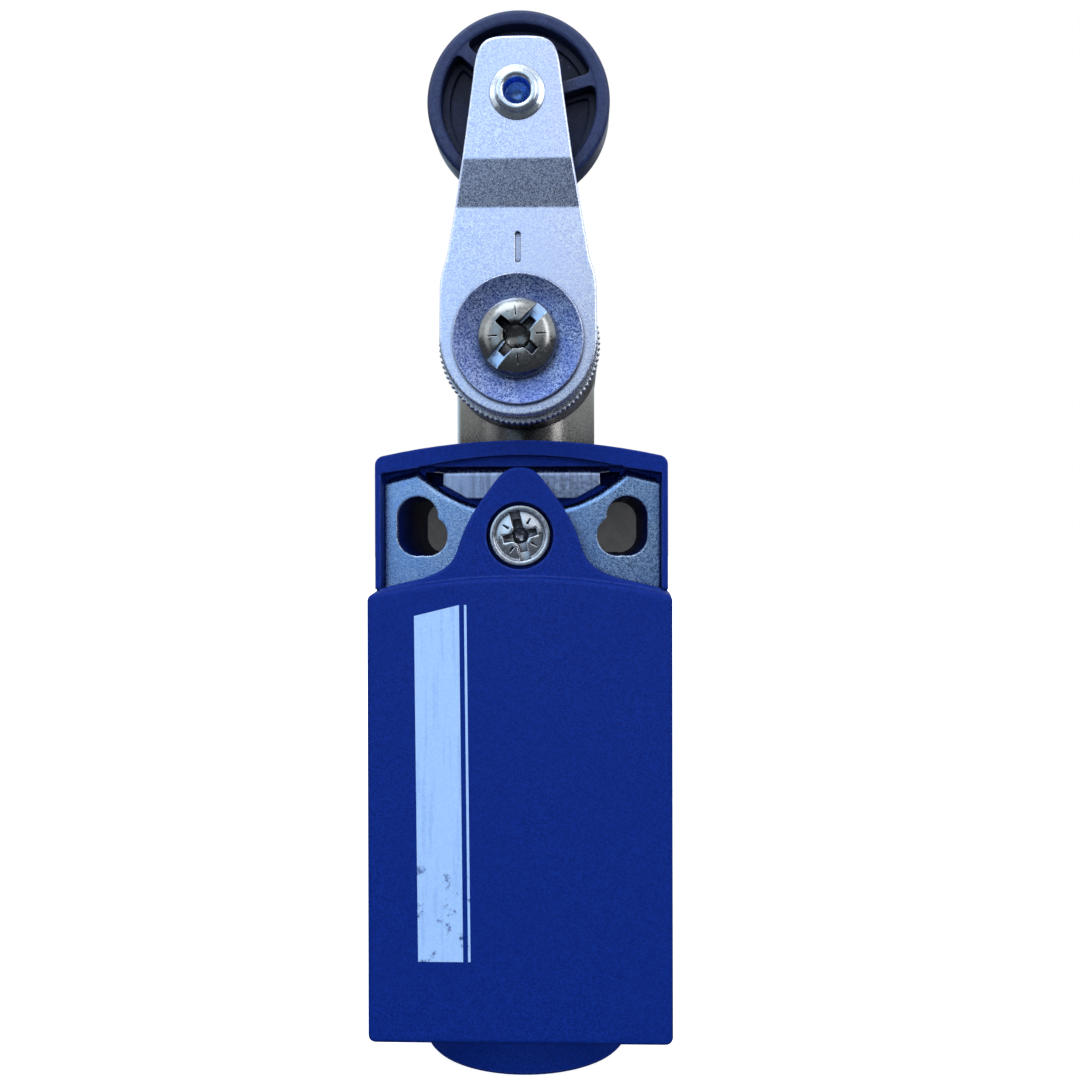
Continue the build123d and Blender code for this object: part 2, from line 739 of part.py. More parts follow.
# ---- fixed and moving contacts ---------------------------------------------------------
tip_height = 0.6
bridge_sheet = 0.6
upper_tip_foot = upper_arm_z - tip_height
lower_tip_top = lower_arm_z + tip_height
with BuildPart() as fixed_contact_tips:
    with BuildSketch(level(upper_tip_foot)):
        with Locations((-tip_x, -head_depth), (tip_x, -head_depth)):
            Circle(tip_r)
    extrude(amount=tip_height)
    with BuildSketch(level(lower_arm_z)):
        with Locations((-tip_x, -head_depth), (tip_x, -head_depth)):
            Circle(tip_r)
    extrude(amount=tip_height)
pieces["fixed_contact_tips"] = fixed_contact_tips.part

upper_bridge_top = upper_tip_foot - contact_air - 0.5
lower_bridge_foot = lower_tip_top + contact_travel + 0.05 + 0.5
with BuildPart() as moving_contact_tips:
    with BuildSketch(level(upper_bridge_top)):
        with Locations((-tip_x, -head_depth), (tip_x, -head_depth)):
            Circle(tip_r)
    extrude(amount=0.5)
    with BuildSketch(level(lower_bridge_foot - 0.5)):
        with Locations((-tip_x, -head_depth), (tip_x, -head_depth)):
            Circle(tip_r)
    extrude(amount=0.5)
pieces["moving_contact_tips"] = moving_contact_tips.part


def bridge(foot):
    """Contact bridge: a straight strip from side to side."""
    with BuildPart() as strip:
        with BuildSketch(level(foot)):
            with Locations((0, -head_depth)):
                RectangleRounded(2 * (tip_x + tip_r), 2.8, 0.5)
        extrude(amount=bridge_sheet)
    return strip.part


pieces["break_bridge"] = bridge(upper_bridge_top - bridge_sheet)
pieces["make_bridge"] = bridge(lower_bridge_foot)

carrier_foot = -29.0
upper_window = (upper_bridge_top - 3.3, upper_bridge_top + 0.02)
lower_window = (lower_bridge_foot - 0.02, lower_bridge_foot + 3.1)
with BuildPart() as contact_carrier:
    with BuildSketch(front(head_depth - 2.4)):
        with Locations((0, (plunger_foot - 0.05 + carrier_foot) / 2)):
            Rectangle(5.6, plunger_foot - 0.05 - carrier_foot)
    extrude(amount=4.8)
    for low, high in (upper_window, lower_window):
        with BuildSketch(Plane.YZ.offset(-3)):
            with Locations((-head_depth, (low + high) / 2)):
                Rectangle(3.0, high - low)
        extrude(amount=6, mode=Mode.SUBTRACT)
pieces["contact_carrier"] = contact_carrier.part

pieces["break_contact_spring"] = coil_spring(
    0, head_depth, upper_window[0] + 0.02, upper_bridge_top - bridge_sheet - 0.02, 1.0, 0.2, 4)
pieces["make_contact_spring"] = coil_spring(
    0, head_depth, lower_bridge_foot + bridge_sheet + 0.02, lower_window[1] - 0.02, 1.0, 0.2, 4)
pieces["carrier_spring"] = coil_spring(
    0, head_depth, contact_foot + 0.02, carrier_foot - 0.02, 1.9, 0.25, 6)

# ---- label and write every piece -------------------------------------------------------
for label, piece in pieces.items():
    piece.label = label
    export_step(piece, "parts/" + label + ".step")
print(len(pieces), "pieces")
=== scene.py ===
import bpy
import bmesh
import json
import math
from mathutils import Matrix, Vector


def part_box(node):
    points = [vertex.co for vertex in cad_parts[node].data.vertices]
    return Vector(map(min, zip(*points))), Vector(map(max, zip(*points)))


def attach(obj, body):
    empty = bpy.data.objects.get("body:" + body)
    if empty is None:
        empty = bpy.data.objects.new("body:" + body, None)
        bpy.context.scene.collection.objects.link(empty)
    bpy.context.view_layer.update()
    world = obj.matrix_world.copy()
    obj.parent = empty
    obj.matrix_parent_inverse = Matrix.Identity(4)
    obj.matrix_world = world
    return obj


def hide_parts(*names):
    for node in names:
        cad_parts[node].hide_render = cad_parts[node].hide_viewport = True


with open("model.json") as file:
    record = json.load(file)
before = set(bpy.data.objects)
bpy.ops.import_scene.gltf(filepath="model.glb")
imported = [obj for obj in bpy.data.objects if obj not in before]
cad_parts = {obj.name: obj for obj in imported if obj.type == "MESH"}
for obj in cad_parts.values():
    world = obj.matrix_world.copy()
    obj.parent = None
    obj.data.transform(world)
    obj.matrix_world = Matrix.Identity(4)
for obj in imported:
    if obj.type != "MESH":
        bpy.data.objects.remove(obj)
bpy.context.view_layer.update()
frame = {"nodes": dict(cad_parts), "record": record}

# Lengths in the dictionaries are millimetres and angles are degrees, unless a note says otherwise.
# A depth is a distance in front of the mounting plane, so it is -y; the front of the switch faces -y.

nodes = frame["nodes"]
mm = 0.001
print("frame loaded:", len(nodes), "nodes")


# places read from the frame

def boxOf(node):
    low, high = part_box(node)
    return {"left": low.x / mm, "right": high.x / mm, "front": -low.y / mm, "back": -high.y / mm,
            "foot": low.z / mm, "top": high.z / mm, "x": (low.x + high.x) / 2 / mm,
            "depth": -(low.y + high.y) / 2 / mm, "z": (low.z + high.z) / 2 / mm}


coverBox = boxOf("cover")
caseBox = boxOf("case")
washerBox = boxOf("clamp_washer")
discBox = boxOf("notched_washer")
screwBox = boxOf("clamp_screw")
coverScrewBox = boxOf("cover_screw")
rollerBox = boxOf("roller")
rivetBox = boxOf("roller_rivet")
armBox = boxOf("lever_arm")
sealBox = boxOf("head_seal_ring")
neckAxis = (sealBox["x"], sealBox["depth"])
hub = (washerBox["x"], washerBox["z"])
axle = (rollerBox["x"], rollerBox["z"])
coverScrewAxis = (coverScrewBox["x"], coverScrewBox["z"])


# node helpers for the materials

def newMaterial(name):
    material = bpy.data.materials.new(name)
    material.use_nodes = True
    tree = material.node_tree
    tree.nodes.clear()
    output = tree.nodes.new("ShaderNodeOutputMaterial")
    shader = tree.nodes.new("ShaderNodeBsdfPrincipled")
    tree.links.new(shader.outputs["BSDF"], output.inputs["Surface"])
    return material, tree, shader


def newGroup(name, inputs, outputs):
    group = bpy.data.node_groups.new(name, "ShaderNodeTree")
    for label, value in inputs:
        socket = group.interface.new_socket(name=label, in_out="INPUT", socket_type="NodeSocketFloat")
        socket.default_value = value
    for label in outputs:
        kind = "NodeSocketVector" if label == "Normal" else "NodeSocketFloat"
        group.interface.new_socket(name=label, in_out="OUTPUT", socket_type=kind)
    return group, group.nodes.new("NodeGroupInput"), group.nodes.new("NodeGroupOutput")


def placed(tree, group, **values):
    node = tree.nodes.new("ShaderNodeGroup")
    node.node_tree = group
    for label, value in values.items():
        node.inputs[label].default_value = value
    return node


def calc(tree, operation, first, second, clamp=False):
    node = tree.nodes.new("ShaderNodeMath")
    node.operation = operation
    node.use_clamp = clamp
    for index, value in enumerate((first, second)):
        if isinstance(value, (int, float)):
            node.inputs[index].default_value = value
        else:
            tree.links.new(value, node.inputs[index])
    return node.outputs[0]


def spread(tree, value, fromLow, fromHigh, toLow=0.0, toHigh=1.0):
    node = tree.nodes.new("ShaderNodeMapRange")
    node.interpolation_type = "SMOOTHSTEP"
    tree.links.new(value, node.inputs[0])
    for index, number in enumerate((fromLow, fromHigh, toLow, toHigh), 1):
        if isinstance(number, (int, float)):
            node.inputs[index].default_value = number
        else:
            tree.links.new(number, node.inputs[index])
    return node.outputs[0]


def blended(tree, factor, first, second):
    node = tree.nodes.new("ShaderNodeMix")
    node.data_type = "RGBA"
    for index, value in ((0, factor), (6, first), (7, second)):
        if isinstance(value, (int, float)):
            node.inputs[index].default_value = value
        elif isinstance(value, tuple):
            node.inputs[index].default_value = (*value, 1.0)
        else:
            tree.links.new(value, node.inputs[index])
    return node.outputs[2]


def textureAt(tree, kind, **settings):
    node = tree.nodes.new(kind)
    where = tree.nodes.new("ShaderNodeTexCoord")
    tree.links.new(where.outputs["Object"], node.inputs["Vector"])
    for label, value in settings.items():
        node.inputs[label].default_value = value
    return node


def raised(tree, height, strength, distance, normal):
    node = tree.nodes.new("ShaderNodeBump")
    tree.links.new(normal, node.inputs["Normal"])
    node.inputs["Strength"].default_value = strength
    node.inputs["Distance"].default_value = distance * mm
    tree.links.new(height, node.inputs["Height"])
    return node.outputs["Normal"]


def eitherShader(tree, factor, first, second, output):
    # the first shader where the factor is 0, the second where it is 1
    choose = tree.nodes.new("ShaderNodeMixShader")
    tree.links.new(factor, choose.inputs["Fac"])
    tree.links.new(first, choose.inputs[1])
    tree.links.new(second, choose.inputs[2])
    tree.links.new(choose.outputs["Shader"], output.inputs["Surface"])


# effects shared by several finishes; scales are counts per metre
# a pair of numbers is where an effect starts and where it is full

effects = {"cellShare": 0.45, "grainEdge": (0.45, 1.0), "cloudEdge": (0.32, 0.68), "wearAndSheenEdge": (0.01, 0.16),
           "wearAndSheenBreak": (0.3, 0.62), "wearAndSheenLeast": 0.35, "paintedShadeEdge": (0.88, 0.4), "streakStretch": 0.05}


def makeGrain():
    # crystal grain of a plated sheet, or the fine sparkle of a moulded skin
    group, source, result = newGroup("surfaceGrain", (("Scale", 9000.0), ("Cloud Scale", 260.0)),
                                     ("Grain", "Cloud", "Height"))
    fine = textureAt(group, "ShaderNodeTexNoise", Detail=2.0, Roughness=0.6)
    cells = textureAt(group, "ShaderNodeTexVoronoi")
    cloud = textureAt(group, "ShaderNodeTexNoise", Detail=3.0)
    for texture, label in ((fine, "Scale"), (cells, "Scale"), (cloud, "Cloud Scale")):
        group.links.new(source.outputs[label], texture.inputs["Scale"])
    shade = group.nodes.new("ShaderNodeSeparateColor")
    group.links.new(cells.outputs["Color"], shade.inputs["Color"])
    height = calc(group, "ADD", fine.outputs["Fac"],
                  calc(group, "MULTIPLY", shade.outputs[0], effects["cellShare"]))
    group.links.new(spread(group, height, *effects["grainEdge"]), result.inputs["Grain"])
    group.links.new(spread(group, cloud.outputs["Fac"], *effects["cloudEdge"]), result.inputs["Cloud"])
    group.links.new(height, result.inputs["Height"])
    return group


def makeWearAndSheen():
    # rubbed edges with a painted sheen on them: where a rounded normal leaves the true one, broken up by
    # noise; Radius in metres
    group, source, result = newGroup("edgeWearAndSheen", (("Radius", 0.0003), ("Breakup", 2500.0)),
                                     ("Edge", "Normal"))
    rounded = group.nodes.new("ShaderNodeBevel")
    rounded.samples = 4
    group.links.new(source.outputs["Radius"], rounded.inputs["Radius"])
    shape = group.nodes.new("ShaderNodeNewGeometry")
    dot = group.nodes.new("ShaderNodeVectorMath")
    dot.operation = "DOT_PRODUCT"
    group.links.new(rounded.outputs["Normal"], dot.inputs[0])
    group.links.new(shape.outputs["Normal"], dot.inputs[1])
    broken = textureAt(group, "ShaderNodeTexNoise")
    group.links.new(source.outputs["Breakup"], broken.inputs["Scale"])
    edge = spread(group, calc(group, "SUBTRACT", 1.0, dot.outputs["Value"]), *effects["wearAndSheenEdge"])
    uneven = spread(group, broken.outputs["Fac"], *effects["wearAndSheenBreak"], effects["wearAndSheenLeast"], 1.0)
    group.links.new(calc(group, "MULTIPLY", edge, uneven, True), result.inputs["Edge"])
    group.links.new(rounded.outputs["Normal"], result.inputs["Normal"])
    return group


def makePaintedShade():
    # painted shade that darkens corners and deep places, where less light reaches; Distance in metres
    group, source, result = newGroup("paintedRecessShade", (("Distance", 0.0015),), ("Shade",))
    around = group.nodes.new("ShaderNodeAmbientOcclusion")
    around.samples = 6
    group.links.new(source.outputs["Distance"], around.inputs["Distance"])
    group.links.new(spread(group, around.outputs["AO"], *effects["paintedShadeEdge"]), result.inputs["Shade"])
    return group


def makeDust():
    # scattered pale specks; Share is how many of the cells hold one
    group, source, result = newGroup("dustSpecks", (("Scale", 1500.0), ("Size", 0.12), ("Share", 0.1)),
                                     ("Specks",))
    cells = textureAt(group, "ShaderNodeTexVoronoi")
    group.links.new(source.outputs["Scale"], cells.inputs["Scale"])
    shade = group.nodes.new("ShaderNodeSeparateColor")
    group.links.new(cells.outputs["Color"], shade.inputs["Color"])
    dot = calc(group, "LESS_THAN", cells.outputs["Distance"], source.outputs["Size"])
    chosen = calc(group, "LESS_THAN", shade.outputs[1], source.outputs["Share"])
    group.links.new(calc(group, "MULTIPLY", shade.outputs[2], calc(group, "MULTIPLY", dot, chosen)),
                    result.inputs["Specks"])
    return group


def makeStreaks():
    # upright drawn or brushed lines
    group, source, result = newGroup("uprightStreaks", (("Scale", 300.0), ("Low", 0.5), ("High", 0.62)),
                                     ("Streaks",))
    lines = textureAt(group, "ShaderNodeTexNoise", Detail=4.0)
    stretch = group.nodes.new("ShaderNodeMapping")
    stretch.inputs["Scale"].default_value = (1.0, 1.0, effects["streakStretch"])
    group.links.new(lines.inputs["Vector"].links[0].from_socket, stretch.inputs["Vector"])
    group.links.new(stretch.outputs["Vector"], lines.inputs["Vector"])
    group.links.new(source.outputs["Scale"], lines.inputs["Scale"])
    group.links.new(spread(group, lines.outputs["Fac"], source.outputs["Low"], source.outputs["High"]),
                    result.inputs["Streaks"])
    return group


surfaceGrain = makeGrain()
edgeWearAndSheen = makeWearAndSheen()
paintedRecessShade = makePaintedShade()
dustSpecks = makeDust()
uprightStreaks = makeStreaks()
print("shared effects made")


# finishes; "shade" is painted shade that darkens deep places, as far as "shadeReach" in millimetres

def withPaintedShade(tree, colour, look):
    # painted shade: the base colour goes towards "shadeTone" in corners and hollows
    if "shade" not in look:
        return colour
    deep = placed(tree, paintedRecessShade, Distance=look["shadeReach"] * mm)
    share = calc(tree, "MULTIPLY", deep.outputs["Shade"], look["shade"])
    return blended(tree, share, colour, look["shadeTone"])


def surfaced(tree, shader, colour, uneven, grain, wearAndSheen, look):
    # gives the shader its colour, its uneven roughness and its relief
    tree.links.new(withPaintedShade(tree, colour, look), shader.inputs["Base Color"])
    rough = spread(tree, uneven, 0.0, 1.0, look["rough"] - look["smoother"], look["rough"] + look["rougher"])
    tree.links.new(rough, shader.inputs["Roughness"])
    relief = raised(tree, grain.outputs["Height"], look["relief"], look["reliefHigh"], wearAndSheen.outputs["Normal"])
    tree.links.new(relief, shader.inputs["Normal"])


def grainWearAndSheen(tree, look):
    # the two effects that every finish has, and the colour that the grain and its clouds give
    grain = placed(tree, surfaceGrain, **{"Scale": look["grain"], "Cloud Scale": look["cloud"]})
    wearAndSheen = placed(tree, edgeWearAndSheen, Radius=look["edge"] * mm)
    colour = blended(tree, grain.outputs["Grain"], look["dark"], look["light"])
    clouds = calc(tree, "MULTIPLY", grain.outputs["Cloud"], look["cloudShare"])
    return grain, wearAndSheen, blended(tree, clouds, colour, look["tint"])


def platedFinish(name, look):
    material, tree, shader = newMaterial(name)
    grain, wearAndSheen, colour = grainWearAndSheen(tree, look)
    if "streaks" in look:
        streaks = placed(tree, uprightStreaks, Scale=look["streaks"], Low=0.42, High=0.6)
        lines = calc(tree, "MULTIPLY", streaks.outputs["Streaks"], look["streakShare"])
        colour = blended(tree, lines, colour, look["streakShade"])
    # lighter edges: partly rubbed wear, partly a painted sheen
    colour = blended(tree, wearAndSheen.outputs["Edge"], colour, look["wornAndSheen"])
    surfaced(tree, shader, colour, grain.outputs["Grain"], grain, wearAndSheen, look)
    shader.inputs["Metallic"].default_value = 1.0
    return material


def mouldedFinish(name, look):
    material, tree, shader = newMaterial(name)
    grain, wearAndSheen, colour = grainWearAndSheen(tree, look)
    dust = placed(tree, dustSpecks, Scale=look["dustScale"], Size=0.075, Share=look["dustShare"])
    # lighter edges: partly rubbed wear, partly a painted sheen
    rubbedAndSheen = calc(tree, "MULTIPLY", wearAndSheen.outputs["Edge"], look["wearAndSheenShare"])
    specks = calc(tree, "MULTIPLY", dust.outputs["Specks"], look["dustLight"])
    colour = blended(tree, specks, blended(tree, rubbedAndSheen, colour, look["wornAndSheen"]), look["dustTone"])
    surfaced(tree, shader, colour, grain.outputs["Cloud"], grain, wearAndSheen, look)
    shader.inputs["Specular IOR Level"].default_value = look["shine"]
    return material


plainPlate = {"wornAndSheen": (0.92, 0.94, 0.96), "edge": 0.15, "grain": 5200.0, "cloud": 400.0, "cloudShare": 0.4,
              "rough": 0.3, "smoother": 0.05, "rougher": 0.07, "relief": 0.12, "reliefHigh": 0.03}
plainMoulding = {"wornAndSheen": (0.3, 0.3, 0.3), "edge": 0.3, "wearAndSheenShare": 0.3, "grain": 5200.0, "cloud": 200.0,
                 "cloudShare": 0.35, "dustScale": 1300.0, "dustShare": 0.05, "dustLight": 0.3,
                 "dustTone": (0.75, 0.8, 0.9), "rough": 0.5, "smoother": 0.04, "rougher": 0.06,
                 "relief": 0.25, "reliefHigh": 0.04, "shine": 0.4}

# the blue housing's lighter edges are partly rubbed wear and partly a painted sheen
blueMoulding = mouldedFinish("blueMoulding", {
    **plainMoulding, "dark": (0.0012, 0.0116, 0.126), "light": (0.0032, 0.0225, 0.210),
    "tint": (0.0020, 0.0162, 0.162), "wornAndSheen": (0.045, 0.085, 0.40), "edge": 0.35, "wearAndSheenShare": 0.6,
    "grain": 7000.0, "cloud": 90.0, "dustScale": 900.0, "dustShare": 0.07, "dustLight": 0.5,
    "rough": 0.52, "relief": 0.35, "shine": 0.08})
# painted shade blackens the roller's pockets
rollerMoulding = mouldedFinish("rollerMoulding", {
    **plainMoulding, "dark": (0.010, 0.017, 0.062), "light": (0.022, 0.036, 0.115),
    "tint": (0.015, 0.025, 0.082), "wornAndSheen": (0.09, 0.11, 0.2), "wearAndSheenShare": 0.55, "cloud": 260.0,
    "dustShare": 0.1, "dustLight": 0.45, "rough": 0.42, "relief": 0.3, "shine": 0.3,
    "shade": 0.9, "shadeReach": 4.0, "shadeTone": (0.001, 0.001, 0.003)})
# painted shade darkens the arm's pointer groove and tight corners
armZinc = platedFinish("armZinc", {
    **plainPlate, "dark": (0.46, 0.52, 0.80), "light": (0.82, 0.88, 1.0), "tint": (0.62, 0.69, 0.97),
    "grain": 7500.0, "cloud": 150.0, "cloudShare": 0.5, "rough": 0.21, "relief": 0.2, "shade": 0.92,
    "shadeReach": 0.5, "shadeTone": (0.03, 0.04, 0.09)})
plateZinc = platedFinish("plateZinc", {
    **plainPlate, "dark": (0.17, 0.30, 0.60), "light": (0.50, 0.70, 1.0), "tint": (0.21, 0.41, 0.86),
    "edge": 0.25, "grain": 8000.0, "cloud": 170.0, "cloudShare": 0.6, "rough": 0.22, "relief": 0.38})
washerZinc = platedFinish("washerZinc", {
    **plainPlate, "dark": (0.03, 0.045, 0.20), "light": (0.52, 0.64, 0.95), "tint": (0.06, 0.12, 0.52),
    "wornAndSheen": (0.97, 0.98, 1.0), "edge": 0.22, "grain": 9500.0, "cloud": 330.0, "rough": 0.34, "relief": 0.5})
# painted shade darkens the disc in its corners and beside the parts around it
discZinc = platedFinish("discZinc", {
    **plainPlate, "dark": (0.46, 0.50, 0.60), "light": (0.92, 0.94, 0.97), "tint": (0.7, 0.74, 0.84),
    "rough": 0.3, "relief": 0.8, "shade": 0.8, "shadeReach": 1.2, "shadeTone": (0.01, 0.01, 0.015)})
# painted shade darkens the neck under the disc and near the case
neckNickel = platedFinish("neckNickel", {
    **plainPlate, "dark": (0.43, 0.415, 0.39), "light": (0.46, 0.445, 0.42), "tint": (0.44, 0.42, 0.38),
    "wornAndSheen": (0.6, 0.58, 0.55), "grain": 6500.0, "cloud": 120.0, "rough": 0.24, "relief": 0.015,
    "shade": 0.95, "shadeReach": 3.5, "shadeTone": (0.012, 0.012, 0.018)})
clipSteel = platedFinish("clipSteel", {
    **plainPlate, "dark": (0.32, 0.39, 0.58), "light": (0.48, 0.57, 0.80), "tint": (0.30, 0.37, 0.62),
    "grain": 3600.0, "cloud": 500.0, "cloudShare": 0.5, "rough": 0.26,
    "streaks": 2600.0, "streakShare": 0.6, "streakShade": (0.2, 0.23, 0.34)})
# painted shade darkens the cover screw's recess
screwSteel = platedFinish("screwSteel", {
    **plainPlate, "dark": (0.56, 0.60, 0.66), "light": (0.72, 0.76, 0.82), "tint": (0.58, 0.63, 0.76),
    "grain": 4200.0, "cloud": 700.0, "rough": 0.18, "relief": 0.05, "shade": 0.95, "shadeReach": 1.6,
    "shadeTone": (0.02, 0.02, 0.035)})
# painted shade blackens the clamp screw's recess and the foot of its head
clampSteel = platedFinish("clampSteel", {
    **plainPlate, "dark": (0.24, 0.24, 0.235), "light": (0.33, 0.335, 0.33), "tint": (0.27, 0.275, 0.28),
    "wornAndSheen": (0.85, 0.88, 0.92), "edge": 0.1, "grain": 4200.0, "cloud": 700.0, "rough": 0.22, "relief": 0.05,
    "shade": 1.0, "shadeReach": 1.8, "shadeTone": (0.006, 0.006, 0.012)})
# a paler, bluer colour for the clamp screw's slot floors: a painted reflection
slotPaintedReflection = platedFinish("slotPaintedReflection", {
    **plainPlate, "dark": (0.34, 0.50, 0.84), "light": (0.52, 0.70, 0.96), "tint": (0.40, 0.58, 0.9),
    "rough": 0.24})
# a darker, bluer colour for the inside of the rivet's hole: painted shade
holePaintedShade = platedFinish("holePaintedShade", {
    **plainPlate, "dark": (0.10, 0.22, 0.58), "light": (0.22, 0.40, 0.80), "tint": (0.14, 0.30, 0.70)})
rivetSteel = platedFinish("rivetSteel", {
    **plainPlate, "dark": (0.62, 0.69, 0.77), "light": (0.78, 0.85, 0.91), "tint": (0.66, 0.74, 0.84),
    "grain": 4200.0, "cloud": 700.0, "rough": 0.2, "relief": 0.05})
shaftSteel = platedFinish("shaftSteel", {
    **plainPlate, "dark": (0.40, 0.40, 0.41), "light": (0.56, 0.56, 0.57), "tint": (0.46, 0.46, 0.48)})
brassMetal = platedFinish("brassMetal", {
    **plainPlate, "dark": (0.62, 0.42, 0.16), "light": (0.84, 0.62, 0.28), "tint": (0.7, 0.48, 0.2),
    "wornAndSheen": (0.95, 0.78, 0.46)})
silverMetal = platedFinish("silverMetal", {
    **plainPlate, "dark": (0.72, 0.71, 0.69), "light": (0.9, 0.89, 0.86), "tint": (0.8, 0.78, 0.74)})
blackRubber = mouldedFinish("blackRubber", {
    **plainMoulding, "dark": (0.008, 0.008, 0.009), "light": (0.02, 0.02, 0.02),
    "tint": (0.012, 0.012, 0.012)})
blackMoulding = mouldedFinish("blackMoulding", {
    **plainMoulding, "dark": (0.014, 0.014, 0.016), "light": (0.034, 0.034, 0.036),
    "tint": (0.02, 0.02, 0.022)})
greyMoulding = mouldedFinish("greyMoulding", {
    **plainMoulding, "dark": (0.22, 0.23, 0.25), "light": (0.32, 0.33, 0.35), "tint": (0.27, 0.28, 0.3)})
whiteAcetal = mouldedFinish("whiteAcetal", {
    **plainMoulding, "dark": (0.70, 0.70, 0.66), "light": (0.82, 0.82, 0.78), "tint": (0.76, 0.76, 0.72),
    "wornAndSheen": (0.9, 0.9, 0.88)})

finishOfSlot = {
    "blue_housing": blueMoulding, "nickel_zamak": neckNickel, "zinc_plate": plateZinc,
    "zinc_washer": washerZinc, "stainless": clipSteel, "screw_steel": screwSteel,
    "roller_plastic": rollerMoulding, "bright_rivet": rivetSteel, "shaft_steel": shaftSteel,
    "spring_steel": shaftSteel, "brass": brassMetal, "silver_contact": silverMetal,
    "black_rubber": blackRubber, "bronze": brassMetal, "white_acetal": whiteAcetal,
    "black_moulding": blackMoulding, "grey_moulding": greyMoulding}
slotOfNode = {row["node"]: row["material_slot"] for row in frame["record"]["subparts"]}
for name, slot in slotOfNode.items():
    nodes[name].data.materials.clear()
    nodes[name].data.materials.append(armZinc if name == "lever_arm" else finishOfSlot[slot])
print("finishes made and given to the CAD nodes")


# mesh helpers

mending = {"join": 0.0002, "softAngle": 32.0, "smoothAngle": 38.0}


def cleaned(mesh):
    # joins points that meet, drops empty faces and turns all faces outwards
    work = bmesh.new()
    work.from_mesh(mesh)
    bmesh.ops.remove_doubles(work, verts=work.verts, dist=mending["join"] * mm)
    bmesh.ops.dissolve_degenerate(work, edges=work.edges, dist=mending["join"] * mm)
    bmesh.ops.recalc_face_normals(work, faces=work.faces)
    work.to_mesh(mesh)
    work.free()


def newPiece(name, mesh):
    cleaned(mesh)
    piece = bpy.data.objects.new(name, mesh)
    bpy.context.scene.collection.objects.link(piece)
    return piece


def after(k, count):
    # the number that follows k, going round a ring of count
    return (k + 1) % count


def turned(name, profile, centre, steps=96, radiusAt=None):
    # turns a closed outline of (radius, depth) about the line along y through centre (x, z)
    verts, faces, count = [], [], len(profile)
    for step in range(steps):
        angle = 2 * math.pi * step / steps
        for radius, depth in profile:
            r = radiusAt(radius, depth, step) if radiusAt else radius
            verts.append(((centre[0] + r * math.cos(angle)) * mm, -depth * mm,
                          (centre[1] + r * math.sin(angle)) * mm))
    for step in range(steps):
        here, there = step * count, after(step, steps) * count
        faces += [(here + k, here + after(k, count), there + after(k, count), there + k)
                  for k in range(count)]
    mesh = bpy.data.meshes.new(name)
    mesh.from_pydata(verts, [], faces)
    return newPiece(name, mesh)


def prism(name, outline, backDepth, frontDepth, shrink=1.0):
    # a closed block over an outline of (x, z); shrink scales its back about the outline's middle
    count = len(outline)
    midX, midZ = sum(x for x, z in outline) / count, sum(z for x, z in outline) / count
    back = [((midX + (x - midX) * shrink) * mm, -backDepth * mm, (midZ + (z - midZ) * shrink) * mm)
            for x, z in outline]
    fore = [(x * mm, -frontDepth * mm, z * mm) for x, z in outline]
    ends = [tuple(range(count)), tuple(range(2 * count - 1, count - 1, -1))]
    sides = [(k, after(k, count), count + after(k, count), count + k) for k in range(count)]
    mesh = bpy.data.meshes.new(name)
    mesh.from_pydata(back + fore, [], ends + sides)
    return newPiece(name, mesh)


def cut(piece, cutters):
    for cutter in cutters:
        step = piece.modifiers.new("cut", "BOOLEAN")
        step.operation = "DIFFERENCE"
        step.solver = "EXACT"
        step.object = cutter
    settle(piece)
    for cutter in cutters:
        bpy.data.objects.remove(cutter)
    return piece


def settle(piece):
    # gives the piece the mesh that its modifiers make
    bpy.context.view_layer.update()
    mesh = bpy.data.meshes.new_from_object(piece.evaluated_get(bpy.context.evaluated_depsgraph_get()))
    piece.modifiers.clear()
    piece.data = mesh
    cleaned(mesh)


def softened(piece, width, segments=2):
    step = piece.modifiers.new("softEdges", "BEVEL")
    step.width = width * mm
    step.segments = segments
    step.limit_method = "ANGLE"
    step.angle_limit = math.radians(mending["softAngle"])
    settle(piece)
    return piece


def finished(piece, material, body, slot, *hidden, smooth=mending["smoothAngle"]):
    piece.data.materials.clear()
    piece.data.materials.append(material)
    for face in piece.data.polygons:
        face.use_smooth = True
        face.material_index = 0
    piece.data.set_sharp_from_angle(angle=math.radians(smooth))
    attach(piece, body)
    if hidden:
        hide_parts(*hidden)


def repainted(piece, material, chosen):
    # a second material on the faces that the test picks
    piece.data.materials.append(material)
    for face in piece.data.polygons:
        if chosen(face.center):
            face.material_index = 1


def barOutline(centre, angle, near, far, wide, narrow):
    # four corners of a bar that leaves the centre at an angle, from near to far along it
    along = Vector((math.cos(math.radians(angle)), math.sin(math.radians(angle))))
    across = Vector((-along.y, along.x))
    spots = ((near, -wide), (far, -narrow), (far, narrow), (near, wide))
    return [tuple(Vector(centre) + along * a + across * b / 2) for a, b in spots]


# camera and light; the world's and the lights' values are in Blender's own units, and metres

